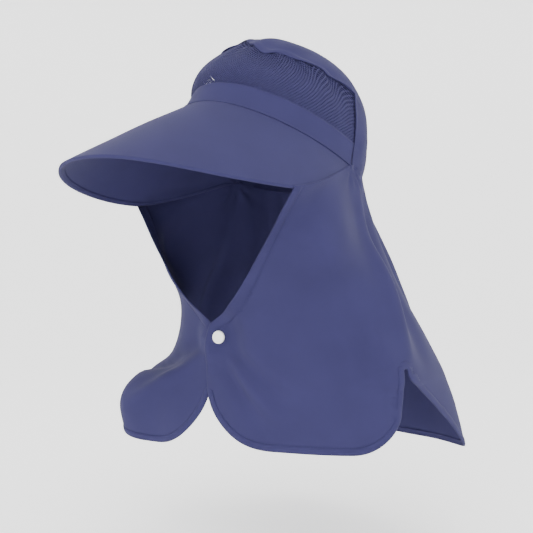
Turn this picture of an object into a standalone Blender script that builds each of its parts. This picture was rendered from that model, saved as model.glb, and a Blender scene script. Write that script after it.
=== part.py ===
"""Flap sun hat: a wide front brim on a crown of net and cloth, with a neck flap closed by one snap.

Metres, +Z up. The wearer looks along -Y and the wearer's left is +X. The origin is where the hat sits
on a head: the middle of the head opening, level with the two ear knots. Each cloth piece is an open
surface, worked out from the sizes and tables below, with its wall given by Solidify.
"""

import math

import bmesh
import bpy
from mathutils import Matrix, Vector

# Walls and clearances.
WALL = 0.0012
BRIM_WALL = 0.0018
NET_WALL = 0.0010
SEAM_GAP = 0.0004
SNAP_GAP = 0.0003

# Head opening: the seam between the band and the brim, from ear to ear round the front.
SEAT_HALF_WIDTH = 0.0864
SEAT_HALF_LENGTH = 0.1108
SEAT_SHIFT = -0.0022
SEAT_MID_Z = 0.0035
SEAT_RISE = 0.0498
SEAT_DIP = 0.0012
EAR_ANGLE = 96.0
BAND_WIDTH = 0.0245
BAND_LEAN_EAR = 0.10
BAND_LEAN_FRONT = 0.46
BAND_LEAN_SIDE = 0.095

# Crown: a hood of arches that pivot on the line between the ear knots.
CROWN_HALF_WIDTH = 0.0845
CROWN_HEIGHT = 0.1360
PIVOT_Y = 0.0120
PIVOT_Z = -0.0030
NAPE_ANGLE = 194.0
# The gathered edge between net and cloth: turn up from the ear and angle from the front, in degrees.
NET_EDGE = (
    (32.0, 101.0),
    (34.5, 86.0),
    (37.5, 79.5),
    (41.0, 77.0),
    (44.0, 69.0),
    (47.5, 65.0),
    (53.0, 63.0),
    (58.0, 60.0),
    (63.5, 56.5),
    (74.5, 58.5),
    (90.0, 65.0),
)
EDGE_GATHER = 0.0008
EDGE_WAVES = 30
EDGE_WANDER = 2.0
NET_KNEE = 0.44
NET_SWELL = 0.07
EAR_TURN = 0.8
# A row for each arch: angle from the front in degrees, reach as a share of CROWN_HEIGHT, squareness.
CROWN_ARCHES = (
    (50.0, 1.020, 2.40),
    (58.0, 1.040, 2.40),
    (66.0, 1.040, 2.45),
    (79.0, 0.975, 2.60),
    (88.0, 0.925, 2.75),
    (100.0, 0.872, 2.80),
    (111.0, 0.812, 2.70),
    (122.0, 0.748, 2.55),
    (134.0, 0.645, 2.35),
    (149.0, 0.538, 2.20),
    (170.0, 0.455, 2.10),
    (194.0, 0.400, 2.00),
    (210.0, 0.390, 2.00),
)
GATHER_DEPTH = 0.0016
GATHER_WAVES = 22
# How fast the shape of each edge fades into the crown's cloth, as a power.
SIDE_EDGE_FADE = 3
TOP_EDGE_FADE = 12
NAPE_FADE = 6

# Brim.
BRIM_REACH = 0.2350
BRIM_TIP_Z = -0.0095
BRIM_HALF_WIDTH = 0.1185
BRIM_CORNER_Y = -0.0990
BRIM_CORNER_Z = -0.0330
BRIM_ROUND = 0.66
BRIM_ARCH = 0.01
BRIM_CORNER_SHARE = 0.66
BRIM_END = 0.985
BRIM_CORNER_ROUND = 0.55
# How the side edge leaves the corner, as shares of its span back and up, and its straight end.
BRIM_SIDE_BACK = 0.40
BRIM_SIDE_UP = 0.20
BRIM_SIDE_STRAIGHT = 0.30

# Neck flap.
SHOULDER_HALF_WIDTH = 0.1570
CHEST_REACH = 0.1000
BACK_REACH = 0.1500
NOTCH_DROP = 0.1900
LOBE_LENGTH = 0.0740
RIGHT_LOBE_LENGTH = 0.0830
BACK_LENGTH = 0.0930
THROAT_REACH = 0.0912
THROAT_DROP = 0.1515
LAP = 0.0085
LAP_STEP = 0.0022
# Below the throat: how soon the lap is full, how fast the fronts part again and how far they lean out.
LAP_START = 0.15
LAP_PARTING = 1.9
LOBE_LEAN = 0.09
# The front edge's two pull points: out as a share of the brim corner's, ahead as a share of
# THROAT_REACH, drop as a share of the way to the throat.
FRONT_EDGE_PULLS = (
    (0.32, 1.096, 0.90),
    (0.24, 1.040, 0.84),
)
FLAP_TOP_SPACING = 1.3
NOTCH_GAP = 0.04
# Where the lines down the flap stand at each level: out from the middle as a share of
# SHOULDER_HALF_WIDTH, ahead of the seat as a share of CHEST_REACH, back from it as a share of
# BACK_REACH. Level 0 is the top seam, 1 the notches and 2 the hem. Swell is how far the right
# front stands ahead of the left. The columns are: level, chest out, ahead, flank out, ahead,
# side out, back, rear out, back, quarter out, back, middle back, swell.
FLAP_LEVELS = (
    (0.34, 0.600, 0.860, 0.780, 0.460, 0.645, 0.060, 0.540, 0.360, 0.340, 0.580, 0.600, 0.00),
    (0.67, 0.420, 0.790, 0.740, 0.380, 0.855, 0.060, 0.665, 0.465, 0.450, 0.720, 0.730, 0.00),
    (1.00, 0.370, 0.850, 0.745, 0.430, 1.000, 0.000, 0.790, 0.640, 0.500, 0.810, 0.820, 0.12),
    (1.25, 0.375, 0.850, 0.755, 0.430, 1.000, 0.000, 0.820, 0.700, 0.525, 0.860, 0.865, 0.56),
    (1.55, 0.380, 0.850, 0.770, 0.430, 0.990, 0.000, 0.845, 0.765, 0.555, 0.920, 0.925, 0.74),
    (2.00, 0.385, 0.830, 0.775, 0.420, 0.980, 0.010, 0.868, 0.815, 0.590, 0.985, 1.000, 0.68),
)
FLANK_SWELL = 0.35
# How the hem rounds each lobe's corner: the level where it leaves the edge, its share of the width.
LOBE_INNER_ROUND = (1.28, 0.40)
LOBE_OUTER_ROUND = (1.52, 0.28)
RIGHT_OUTER_ROUND = (1.16, 0.56)
# The back panel's side edges: the level where they start, the share of the width they slant
# over, and how sharp the tips are, as a power.
BACK_START = 1.03
BACK_SLANT = 0.17
BACK_TIP_SHARPNESS = 7
# A row for each soft fold: side, line and level where it starts and ends, height and half-width.
FLAP_FOLDS = (
    (1, 0.30, 0.86, 1.30, 1.35, -0.0060, 0.0090),
    (1, 0.25, 0.92, 1.05, 1.75, -0.0050, 0.0090),
    (1, 0.22, 0.90, 1.20, 1.55, 0.0030, 0.0070),
    (1, 0.30, 0.00, 2.70, 0.95, 0.0070, 0.0130),
    (1, 1.60, 0.60, 2.30, 1.10, -0.0060, 0.0200),
    (1, 3.05, 0.08, 3.10, 0.90, 0.0060, 0.0100),
    (1, 3.60, 0.08, 3.45, 0.90, -0.0060, 0.0140),
    (-1, 0.45, 0.98, 1.60, 1.60, 0.0060, 0.0090),
    (-1, 0.40, 0.90, 2.20, 1.20, -0.0050, 0.0090),
    (-1, 0.30, 0.00, 2.70, 0.95, 0.0060, 0.0130),
    (-1, 3.05, 0.08, 3.10, 0.90, 0.0060, 0.0100),
    (-1, 3.60, 0.08, 3.45, 0.90, -0.0060, 0.0140),
    (1, 5.00, 0.05, 5.10, 1.60, 0.0060, 0.0160),
    (1, 4.50, 0.10, 4.40, 1.50, -0.0050, 0.0150),
    (1, 5.60, 0.10, 5.70, 1.70, -0.0050, 0.0160),
    (-1, 5.00, 0.05, 4.90, 1.60, 0.0060, 0.0160),
    (-1, 4.40, 0.10, 4.30, 1.50, -0.0050, 0.0150),
)

# How folds fade: at the top seam, by level, at the front edges, by line, and at their own ends.
FOLD_TOP_FADE = 0.12
FOLD_EDGE_FADE = 0.25
FOLD_END_SHARE = 0.12

# Snap button.
SNAP_LINE = 0.21
SNAP_TURN = 20.0
# Where the fronts are pressed flat round the snap: all flat and last pressed, in snap radii, and
# the lines it takes in from each front edge.
PRESS_FLAT = 1.4
PRESS_REACH = 5.5
PRESS_LINES = 2
SNAP_DROP = 0.1615
SNAP_RADIUS = 0.0062
SNAP_HEIGHT = 0.0026
POST_RADIUS = 0.0019
SOCKET_RADIUS = 0.0052
SOCKET_HEIGHT = 0.0020

# Meshing.
ROUND_COLUMNS = 44
NET_ROWS = 8
BAND_ROWS = 2
BRIM_ROWS = 7
EAR_COLUMNS = 6
HOOD_ROWS = 14
PANEL_COLUMNS = 13
BACK_COLUMNS = 20
UPPER_ROWS = 9
LOWER_ROWS = 6
SNAP_STEPS = 24
HOLE_STEPS = 16
HOLE_DEPTH = 0.02


def lerp(a, b, k):
    return a + (b - a) * k


def power(value, exponent):
    return math.copysign(abs(value) ** exponent, value)


def catmull(points, k):
    """A smooth curve through evenly spaced points, at k from 0 to the number of spans."""
    spans = len(points) - 1
    i = min(max(int(math.floor(k)), 0), spans - 1)
    u = k - i
    before = points[i - 1] if i > 0 else points[i] * 2 - points[i + 1]
    after = points[i + 2] if i + 2 <= spans else points[i + 1] * 2 - points[i]
    a = points[i] * 2
    b = points[i + 1] - before
    c = before * 2 - points[i] * 5 + points[i + 1] * 4 - after
    d = points[i] * 3 - before - points[i + 1] * 3 + after
    return (a + b * u + c * (u * u) + d * (u * u * u)) * 0.5


def place_in(keys, value):
    """Where a value falls in a rising list of keys, counted in spans."""
    i = 0
    while i < len(keys) - 2 and value > keys[i + 1]:
        i += 1
    return i + (value - keys[i]) / (keys[i + 1] - keys[i])


def bezier(p, k):
    """A cubic curve with the four points p, at k from 0 to 1."""
    j = 1 - k
    return p[0] * j**3 + p[1] * (3 * j * j * k) + p[2] * (3 * j * k * k) + p[3] * k**3


def mirrored(point):
    return Vector((-point.x, point.y, point.z))


def seat_ring(angle):
    """The band's lower edge, at an angle in degrees from the front, positive to the wearer's left."""
    a = math.radians(angle)
    z = SEAT_MID_Z + SEAT_RISE * math.cos(a) + SEAT_DIP * math.cos(2 * a)
    return Vector((SEAT_HALF_WIDTH * math.sin(a), SEAT_SHIFT - SEAT_HALF_LENGTH * math.cos(a), z))


def band_top(angle):
    """The band's upper edge: it leans in over the forehead and stands nearly upright at the ears."""
    a = math.radians(angle)
    lean_x = -BAND_LEAN_SIDE * math.sin(a)
    lean_y = BAND_LEAN_EAR + BAND_LEAN_FRONT * math.cos(a / 2) ** 2
    rise = math.sqrt(1 - lean_x**2 - lean_y**2)
    return seat_ring(angle) + Vector((lean_x, lean_y, rise)) * BAND_WIDTH


def hood(angle, turn):
    """A point of the crown's hood: the arch at an angle from the front, turned up from the left ear."""
    place = place_in([row[0] for row in CROWN_ARCHES], angle)
    reach = catmull([row[1] for row in CROWN_ARCHES], place)
    squareness = catmull([row[2] for row in CROWN_ARCHES], place)
    t = math.radians(turn)
    across = CROWN_HALF_WIDTH * power(math.cos(t), 2 / squareness)
    out = CROWN_HEIGHT * reach * power(math.sin(t), 2 / squareness)
    a = math.radians(angle)
    return Vector((across, PIVOT_Y - out * math.cos(a), PIVOT_Z + out * math.sin(a)))


def net_edge_angle(turn):
    """The angle of the arch that the gathered edge between net and cloth has reached."""
    low = max(90 - abs(90 - turn), NET_EDGE[0][0])
    return catmull([row[1] for row in NET_EDGE], place_in([row[0] for row in NET_EDGE], low))


def gathered(turn):
    """A point of the gathered edge between net and cloth, rippled out from the head."""
    point = hood(net_edge_angle(turn), turn)
    out = (point - Vector((0, PIVOT_Y, PIVOT_Z))).normalized()
    t = math.radians(turn)
    return point + out * EDGE_GATHER * math.cos(EDGE_WAVES * t + EDGE_WANDER * math.sin(3 * t))


def net_edge(angle):
    """The net's upper edge above the band's point at an angle from the front."""
    return gathered(90 - (90 - NET_EDGE[0][0]) * angle / EAR_ANGLE)


def net_point(angle, k):
    """A point of the net, from the band's upper edge at k 0 to the gathered edge at k 1."""
    low = band_top(angle)
    high = net_edge(angle)
    swell = 1 + NET_SWELL * math.cos(math.radians(angle) / 2) ** 2
    knee = Vector((low.x * swell, low.y * swell, lerp(low.z, high.z, NET_KNEE)))
    return low * (1 - k) ** 2 + knee * (2 * k * (1 - k)) + high * k**2


def crown_rim(turn):
    """The front edge of the crown's cloth: up the band's and the net's rear edges, then over the top."""
    side = 1 if turn <= 90 else -1
    low = 90 - abs(90 - turn)
    if low > NET_EDGE[0][0]:
        return gathered(turn)
    ear = EAR_ANGLE * side
    k = low / NET_EDGE[0][0]
    height = net_edge(ear).z - seat_ring(ear).z
    band_share = (band_top(ear).z - seat_ring(ear).z) / height
    if k < band_share:
        return seat_ring(ear).lerp(band_top(ear), k / band_share)
    return net_point(ear, (k - band_share) / (1 - band_share))


def nape_gather(turn):
    """The ripple of the elastic waist, out from the neck."""
    t = math.radians(turn)
    swing = GATHER_DEPTH * math.cos(GATHER_WAVES * t) * math.sin(t)
    return Vector((math.cos(t), math.sin(t), 0)) * swing


def crown_point(turn, k):
    """A point of the crown's cloth, from its front edge at k 0 to the nape at k 1."""
    start = net_edge_angle(turn)
    point = hood(lerp(start, NAPE_ANGLE, k), turn)
    over_top = NET_EDGE[0][0] < turn < 180 - NET_EDGE[0][0]
    fade = (1 - k) ** (TOP_EDGE_FADE if over_top else SIDE_EDGE_FADE)
    point += (crown_rim(turn) - hood(start, turn)) * fade
    return point + nape_gather(turn) * k**NAPE_FADE


def brim_side(k):
    """The brim's left side edge, from its front corner at k 0 to the ear knot at k 1."""
    ear = seat_ring(EAR_ANGLE)
    corner = Vector((BRIM_HALF_WIDTH, BRIM_CORNER_Y, BRIM_CORNER_Z))
    span = ear - corner
    first = corner + Vector((0, span.y * BRIM_SIDE_BACK, span.z * BRIM_SIDE_UP))
    last = ear - span * BRIM_SIDE_STRAIGHT
    return bezier((corner, first, last, ear), k)


def brim_front(k):
    """The brim's front edge, from its tip at k 0 to its left corner at k 1."""
    tip = Vector((0, -BRIM_REACH, BRIM_TIP_Z))
    corner = Vector((BRIM_HALF_WIDTH, BRIM_CORNER_Y, BRIM_CORNER_Z))
    first = tip + Vector((BRIM_HALF_WIDTH * BRIM_ROUND, 0, 0))
    last = corner + Vector((0, (tip.y - corner.y) * BRIM_CORNER_ROUND, 0))
    return bezier((tip, first, last, corner), k)


def brim_edge(angle):
    """The brim's outer edge opposite the seat ring's point at an angle from the front."""
    k = abs(angle) / EAR_ANGLE
    if k < BRIM_CORNER_SHARE:
        point = brim_front(k / BRIM_CORNER_SHARE)
    else:
        point = brim_side((k - BRIM_CORNER_SHARE) / (1 - BRIM_CORNER_SHARE))
    return point if angle >= 0 else mirrored(point)


def brim_point(angle, k):
    """A point of the brim, from the band's seam at k 0 to the outer edge at k 1."""
    inner = seat_ring(angle)
    outer = brim_edge(angle)
    arch = (outer - inner).length * BRIM_ARCH * 4 * k * (1 - k)
    return inner.lerp(outer, k) + Vector((0, 0, arch))


def flap_top(line):
    """The flap's top seam: line 0 is the left brim corner, 3 the ear knot, 6 the middle of the nape."""
    if line > 6:
        return mirrored(flap_top(12 - line))
    if line <= 3:
        return brim_side((line / 3) ** FLAP_TOP_SPACING)
    turn = max((line - 3) * 30, EAR_TURN)
    return hood(NAPE_ANGLE, turn) + nape_gather(turn)


def flap_z(top, line, level):
    """The height of a line of the flap at a level, from its height at the top seam."""
    if level <= 1:
        return lerp(top, -NOTCH_DROP, level)
    length = LOBE_LENGTH
    if line > 3:
        length = BACK_LENGTH if line < 9 else RIGHT_LOBE_LENGTH
    return -NOTCH_DROP - (level - 1) * length


def flap_front(level, side):
    """The flap's front edge: from the brim's corner to the throat, then down the lobe's inner side."""
    corner = brim_side(0)
    throat_level = THROAT_DROP / NOTCH_DROP
    lap = LAP_STEP / 2 * side
    if level < throat_level:
        k = level / throat_level
        throat = Vector((0, -THROAT_REACH, -THROAT_DROP))
        drop = throat.z - corner.z
        pulls = [
            Vector((corner.x * out, throat.y * ahead, corner.z + drop * down))
            for out, ahead, down in FRONT_EDGE_PULLS
        ]
        point = bezier((corner, *pulls, throat), k)
        return Vector((point.x * side, point.y - lap * k * k, point.z))
    k = level - throat_level
    out = LAP * (k * LAP_PARTING - math.sin(min(k / LAP_START, 1) * math.pi / 2))
    ahead = THROAT_REACH + lap + CHEST_REACH * LOBE_LEAN * k
    return Vector((out * side, -ahead, flap_z(0, 6 - 6 * side, level)))


def flap_controls():
    """The control points of the flap: a row for each level, from the left front edge to the right one."""
    rows = [[flap_top(line) for line in range(13)]]
    for row in FLAP_LEVELS:
        level, chest_out, chest, flank_out, flank, side_out, side, rear_out, rear = row[:9]
        quarter_out, quarter, middle, swell = row[9:]
        left = (
            (chest_out, -chest * CHEST_REACH),
            (flank_out, -flank * CHEST_REACH),
            (side_out, side * BACK_REACH),
            (rear_out, rear * BACK_REACH),
            (quarter_out, quarter * BACK_REACH),
            (0, middle * BACK_REACH),
        )
        points = [flap_front(level, 1)]
        for line, (out, y) in enumerate(left, 1):
            z = flap_z(flap_top(line).z, line, level)
            points.append(Vector((out * SHOULDER_HALF_WIDTH, y, z)))
        right = [mirrored(point) for point in reversed(points[1:6])]
        right[3].y -= swell * CHEST_REACH
        right[4].y -= swell * CHEST_REACH * FLANK_SWELL
        for n, line in enumerate((9, 10, 11), 2):
            right[n].z = flap_z(flap_top(line).z, line, level)
        rows.append(points + right + [flap_front(level, -1)])
    return rows


class Flap:
    """The flap's surface: line from 0, the left front edge, to 12, the right one, and level from 0 to 2."""

    def __init__(self):
        self.rows = flap_controls()
        self.levels = [0.0] + [row[0] for row in FLAP_LEVELS]
        self.folds = []
        for side, line_a, level_a, line_b, level_b, height, width in FLAP_FOLDS:
            if side < 0:
                line_a, line_b = 12 - line_a, 12 - line_b
            ends = (self.smooth(line_a, level_a), self.smooth(line_b, level_b))
            self.folds.append((ends, height, width))
        self.snap = self.smooth(SNAP_LINE, SNAP_DROP / NOTCH_DROP)
        turn = Matrix.Rotation(math.radians(SNAP_TURN), 3, "Z")
        self.snap_face = turn @ self.normal(SNAP_LINE, SNAP_DROP / NOTCH_DROP)

    def smooth(self, line, level):
        place = place_in(self.levels, level)
        column = [catmull(row, line) for row in self.rows]
        point = catmull(column, place)
        if level < 1:
            point += (flap_top(line) - column[0]) * (1 - level) ** 2
        if line < 1:
            edge = [row[0] for row in self.rows]
            point += (flap_front(level, 1) - catmull(edge, place)) * (1 - line) ** 2
        if line > 11:
            edge = [row[-1] for row in self.rows]
            point += (flap_front(level, -1) - catmull(edge, place)) * (line - 11) ** 2
        return point

    def normal(self, line, level):
        """Out from the wearer."""
        across = self.smooth(min(line + 0.03, 12), level) - self.smooth(max(line - 0.03, 0), level)
        down = self.smooth(line, min(level + 0.02, 2)) - self.smooth(line, max(level - 0.02, 0))
        return down.cross(across).normalized()

    def point(self, line, level):
        point = self.smooth(line, level)
        lift = sum(fold_lift(point, *fold) for fold in self.folds)
        near_edge = min(line, 12 - line)
        fade = min(1, level / FOLD_TOP_FADE) * min(1, near_edge / FOLD_EDGE_FADE)
        point += self.normal(line, level) * lift * fade
        if near_edge > PRESS_LINES:
            return point
        return self.pressed(point, line)

    def pressed(self, point, line):
        """Flattens both fronts where the snap presses them together."""
        away = point - self.snap
        height = away.dot(self.snap_face)
        reach = (away - self.snap_face * height).length / SNAP_RADIUS
        k = min(max((PRESS_REACH - reach) / (PRESS_REACH - PRESS_FLAT), 0), 1)
        hold = k * k * (3 - 2 * k)
        depth = 0 if line < 6 else -LAP_STEP
        return point + self.snap_face * (depth - height) * hold


def fold_lift(point, ends, height, width):
    """How far a fold between two ends lifts the cloth at a point."""
    along = ends[1] - ends[0]
    k = (point - ends[0]).dot(along) / along.length_squared
    k_near = min(max(k, 0), 1)
    gap = (point - ends[0] - along * k_near).length
    fade = math.sin(math.pi * lerp(FOLD_END_SHARE, 1 - FOLD_END_SHARE, k_near))
    return height * fade * math.exp(-((gap / width) ** 2))


def lobe_end(share, outer_round):
    """The level of a front lobe's hem, at a share of the way from its inner to its outer edge."""
    level, width = LOBE_INNER_ROUND
    if share < width:
        return lerp(level, 2, math.sqrt(1 - (1 - share / width) ** 2))
    level, width = outer_round
    if share > 1 - width:
        return lerp(level, 2, math.sqrt(max(0, 1 - (1 - (1 - share) / width) ** 2)))
    return 2


def left_end(share):
    return lobe_end(share, LOBE_OUTER_ROUND)


def right_end(share):
    return lobe_end(1 - share, RIGHT_OUTER_ROUND)


def back_end(share):
    """The level of the back panel's hem, at a share of the way from the left notch to the right."""
    near = min(share, 1 - share) / BACK_SLANT
    rounded = near / (1 + near**BACK_TIP_SHARPNESS) ** (1 / BACK_TIP_SHARPNESS)
    return lerp(BACK_START, 2, rounded)


def eased(count, ease=0.6):
    """Shares from 0 to 1, closer together at both ends."""
    shares = [n / count for n in range(count + 1)]
    return [lerp(s, 0.5 - 0.5 * math.cos(s * math.pi), ease) for s in shares]


def flap_mesh(flap):
    """The flap as a grid: whole above the notches, and in three panels below them."""
    mesh = bmesh.new()
    panels = (
        (0, 3 - NOTCH_GAP, PANEL_COLUMNS, left_end),
        (3 + NOTCH_GAP, 9 - NOTCH_GAP, BACK_COLUMNS, back_end),
        (9 + NOTCH_GAP, 12, PANEL_COLUMNS, right_end),
    )
    columns = []
    for number, (first, last, count, end) in enumerate(panels):
        for share in eased(count):
            columns.append((lerp(first, last, share), number, end(share)))
    grid = []
    for line, number, end in columns:
        levels = [n / UPPER_ROWS for n in range(UPPER_ROWS)]
        levels += [lerp(1, end, n / LOWER_ROWS) for n in range(LOWER_ROWS + 1)]
        grid.append([flap.point(line, level) for level in levels])
    for column, (line, number, end) in zip(grid, columns):
        under_brim = line < 3 or line > 9
        trim(column, SEAM_GAP + (BRIM_WALL / 2 if under_brim else 0), 0)
    verts = [[mesh.verts.new(point) for point in column] for column in grid]
    for i in range(len(columns) - 1):
        whole = columns[i][1] == columns[i + 1][1]
        for j in range(len(verts[i]) - 1):
            if whole or j < UPPER_ROWS:
                quad = (verts[i][j], verts[i][j + 1], verts[i + 1][j + 1], verts[i + 1][j])
                mesh.faces.new(quad)
    return mesh


def trim(points, start, end):
    """Shortens a row of points at its start and its end."""
    points[0] = points[0] + (points[1] - points[0]).normalized() * start
    points[-1] = points[-1] + (points[-2] - points[-1]).normalized() * end


def grid_mesh(columns, start, end, sides):
    """A sheet through columns of points, shortened at its start, its end and its two sides."""
    for column in columns:
        trim(column, start, end)
    for j in range(len(columns[0])):
        row = [column[j] for column in columns]
        trim(row, sides, sides)
        columns[0][j] = row[0]
        columns[-1][j] = row[-1]
    mesh = bmesh.new()
    verts = [[mesh.verts.new(point) for point in column] for column in columns]
    for i in range(len(verts) - 1):
        for j in range(len(verts[i]) - 1):
            mesh.faces.new((verts[i][j], verts[i][j + 1], verts[i + 1][j + 1], verts[i + 1][j]))
    return mesh


def steps_between(first, last, count):
    return [lerp(first, last, i / count) for i in range(count + 1)]


def swept(function, steps, rows):
    """Columns of points of a surface, one for each step across it."""
    return [[function(step, j / rows) for j in range(rows + 1)] for step in steps]


def material(name, colour, roughness):
    result = bpy.data.materials.new(name)
    result.use_nodes = True
    shader = result.node_tree.nodes["Principled BSDF"]
    shader.inputs["Base Color"].default_value = (*colour, 1)
    shader.inputs["Roughness"].default_value = roughness
    shader.inputs["Metallic"].default_value = 0
    return result


def add_object(name, mesh, collection, finish):
    """An object from a finished bmesh, in a collection, with its material."""
    bmesh.ops.recalc_face_normals(mesh, faces=mesh.faces)
    data = bpy.data.meshes.new(name)
    mesh.to_mesh(data)
    mesh.free()
    obj = bpy.data.objects.new(name, data)
    collection.objects.link(obj)
    data.materials.append(finish)
    data.shade_smooth()
    return obj


def add_cloth(name, mesh, wall, collection, finish):
    obj = add_object(name, mesh, collection, finish)
    shell = obj.modifiers.new("wall", "SOLIDIFY")
    shell.thickness = wall
    shell.offset = 0
    return obj


def turned(name, profile, collection, finish):
    """A turned piece from its profile of radius and height, listed from the top down."""
    mesh = bmesh.new()
    verts = [mesh.verts.new((radius, 0, height)) for radius, height in profile]
    for i in range(len(verts) - 1):
        mesh.edges.new((verts[i], verts[i + 1]))
    data = bpy.data.meshes.new(name)
    mesh.to_mesh(data)
    mesh.free()
    obj = bpy.data.objects.new(name, data)
    collection.objects.link(obj)
    data.materials.append(finish)
    screw = obj.modifiers.new("turn", "SCREW")
    screw.steps = SNAP_STEPS
    screw.render_steps = SNAP_STEPS
    screw.use_merge_vertices = True
    screw.merge_threshold = 0.00005
    screw.use_smooth_shade = True
    return obj


def add_snap(flap, flap_object, parts, cutters):
    """The snap: a cap with a post through both fronts, and a plain socket behind them."""
    white = material("snap_white", (0.78, 0.77, 0.76), 0.35)
    turn = flap.snap_face.to_track_quat("Z", "Y")
    under = WALL / 2 + SNAP_GAP
    back = -(LAP_STEP + WALL / 2 + SNAP_GAP)
    cap = turned(
        "snap_cap",
        [
            (0, under + SNAP_HEIGHT),
            (SNAP_RADIUS * 0.45, under + SNAP_HEIGHT * 0.95),
            (SNAP_RADIUS * 0.78, under + SNAP_HEIGHT * 0.75),
            (SNAP_RADIUS * 0.96, under + SNAP_HEIGHT * 0.42),
            (SNAP_RADIUS, under + SNAP_HEIGHT * 0.20),
            (SNAP_RADIUS * 0.97, under),
            (POST_RADIUS, under),
            (POST_RADIUS, back - SOCKET_HEIGHT),
            (0, back - SOCKET_HEIGHT),
        ],
        parts,
        white,
    )
    bore = POST_RADIUS + SNAP_GAP
    socket = turned(
        "snap_socket",
        [
            (bore, back),
            (SOCKET_RADIUS * 0.94, back),
            (SOCKET_RADIUS, back - SOCKET_HEIGHT * 0.3),
            (SOCKET_RADIUS * 0.85, back - SOCKET_HEIGHT),
            (bore, back - SOCKET_HEIGHT),
            (bore, back),
        ],
        parts,
        white,
    )
    bpy.ops.mesh.primitive_cylinder_add(vertices=HOLE_STEPS, radius=bore, depth=HOLE_DEPTH)
    hole = bpy.context.object
    hole.name = "post_hole"
    for collection in list(hole.users_collection):
        collection.objects.unlink(hole)
    cutters.objects.link(hole)
    hole.hide_render = True
    hole.display_type = "WIRE"
    for obj in (cap, socket, hole):
        obj.location = flap.snap
        obj.rotation_mode = "QUATERNION"
        obj.rotation_quaternion = turn
    cut = flap_object.modifiers.new("post_hole", "BOOLEAN")
    cut.object = hole
    cut.operation = "DIFFERENCE"


def main():
    for obj in list(bpy.data.objects):
        bpy.data.objects.remove(obj)
    parts = bpy.data.collections.new("flap_sun_hat")
    cutters = bpy.data.collections.new("cutters")
    for collection in (parts, cutters):
        bpy.context.scene.collection.children.link(collection)
    cloth = material("cloth", (0.078, 0.088, 0.216), 0.75)
    net = material("net", (0.053, 0.060, 0.150), 0.80)

    def band_point(angle, k):
        return seat_ring(angle).lerp(band_top(angle), k)

    angles = steps_between(EAR_ANGLE, -EAR_ANGLE, ROUND_COLUMNS)
    sheet = grid_mesh(swept(net_point, angles, NET_ROWS), SEAM_GAP, SEAM_GAP, SEAM_GAP)
    add_cloth("mesh_panel", sheet, NET_WALL, parts, net)
    sheet = grid_mesh(swept(band_point, angles, BAND_ROWS), SEAM_GAP, SEAM_GAP, SEAM_GAP)
    add_cloth("front_band", sheet, WALL, parts, cloth)

    angles = steps_between(EAR_ANGLE * BRIM_END, -EAR_ANGLE * BRIM_END, ROUND_COLUMNS)
    sheet = grid_mesh(swept(brim_point, angles, BRIM_ROWS), SEAM_GAP, SEAM_GAP, SEAM_GAP)
    add_cloth("brim", sheet, BRIM_WALL, parts, cloth)

    corner = NET_EDGE[0][0]
    turns = steps_between(EAR_TURN, corner, EAR_COLUMNS)[:-1]
    turns += steps_between(corner, 180 - corner, ROUND_COLUMNS)
    turns += steps_between(180 - corner, 180 - EAR_TURN, EAR_COLUMNS)[1:]
    sheet = grid_mesh(swept(crown_point, turns, HOOD_ROWS), SEAM_GAP + WALL / 2, SEAM_GAP, SEAM_GAP)
    add_cloth("crown", sheet, WALL, parts, cloth)

    flap = Flap()
    flap_object = add_cloth("neck_flap", flap_mesh(flap), WALL, parts, cloth)
    add_snap(flap, flap_object, parts, cutters)


main()
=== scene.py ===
"""Looks of the flap sun hat: woven cloth, net, hems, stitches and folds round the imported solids.

Metres, +Z up, and the wearer looks along -Y. The surfaces and their sizes repeat the solids'.
"""

import math

import bpy
import numpy as np
from mathutils import Matrix, Vector, kdtree, noise
from mathutils.geometry import delaunay_2d_cdt


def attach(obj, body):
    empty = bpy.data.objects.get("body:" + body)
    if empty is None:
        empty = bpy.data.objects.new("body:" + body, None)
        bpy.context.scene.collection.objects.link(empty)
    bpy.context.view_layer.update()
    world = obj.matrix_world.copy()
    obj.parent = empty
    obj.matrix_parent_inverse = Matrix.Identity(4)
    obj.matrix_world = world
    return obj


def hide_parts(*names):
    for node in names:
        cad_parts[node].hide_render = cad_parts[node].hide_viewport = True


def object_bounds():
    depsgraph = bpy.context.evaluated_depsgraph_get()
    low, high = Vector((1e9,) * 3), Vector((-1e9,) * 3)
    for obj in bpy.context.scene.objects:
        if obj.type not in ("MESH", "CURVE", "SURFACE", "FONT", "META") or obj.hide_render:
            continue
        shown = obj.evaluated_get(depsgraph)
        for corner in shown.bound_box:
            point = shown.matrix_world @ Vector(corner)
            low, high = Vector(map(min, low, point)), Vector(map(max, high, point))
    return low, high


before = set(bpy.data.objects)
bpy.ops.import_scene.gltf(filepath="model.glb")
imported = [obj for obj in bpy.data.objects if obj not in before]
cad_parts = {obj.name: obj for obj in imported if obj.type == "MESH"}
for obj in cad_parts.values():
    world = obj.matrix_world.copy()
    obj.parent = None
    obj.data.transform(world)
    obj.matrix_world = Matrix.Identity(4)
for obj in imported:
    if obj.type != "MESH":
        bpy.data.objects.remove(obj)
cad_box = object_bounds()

# Walls and clearances.
WALL = 0.0012
SNAP_GAP = 0.0003

# Head opening: the seam between the band and the brim, from ear to ear round the front.
SEAT_HALF_WIDTH = 0.0864
SEAT_HALF_LENGTH = 0.1108
SEAT_SHIFT = -0.0022
SEAT_MID_Z = 0.0035
SEAT_RISE = 0.0498
SEAT_DIP = 0.0012
EAR_ANGLE = 96.0
BAND_WIDTH = 0.0245
BAND_LEAN_EAR = 0.10
BAND_LEAN_FRONT = 0.46
BAND_LEAN_SIDE = 0.095

# Crown: a hood of arches that pivot on the line between the ear knots.
CROWN_HALF_WIDTH = 0.0845
CROWN_HEIGHT = 0.1360
PIVOT_Y = 0.0120
PIVOT_Z = -0.0030
NAPE_ANGLE = 194.0
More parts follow.
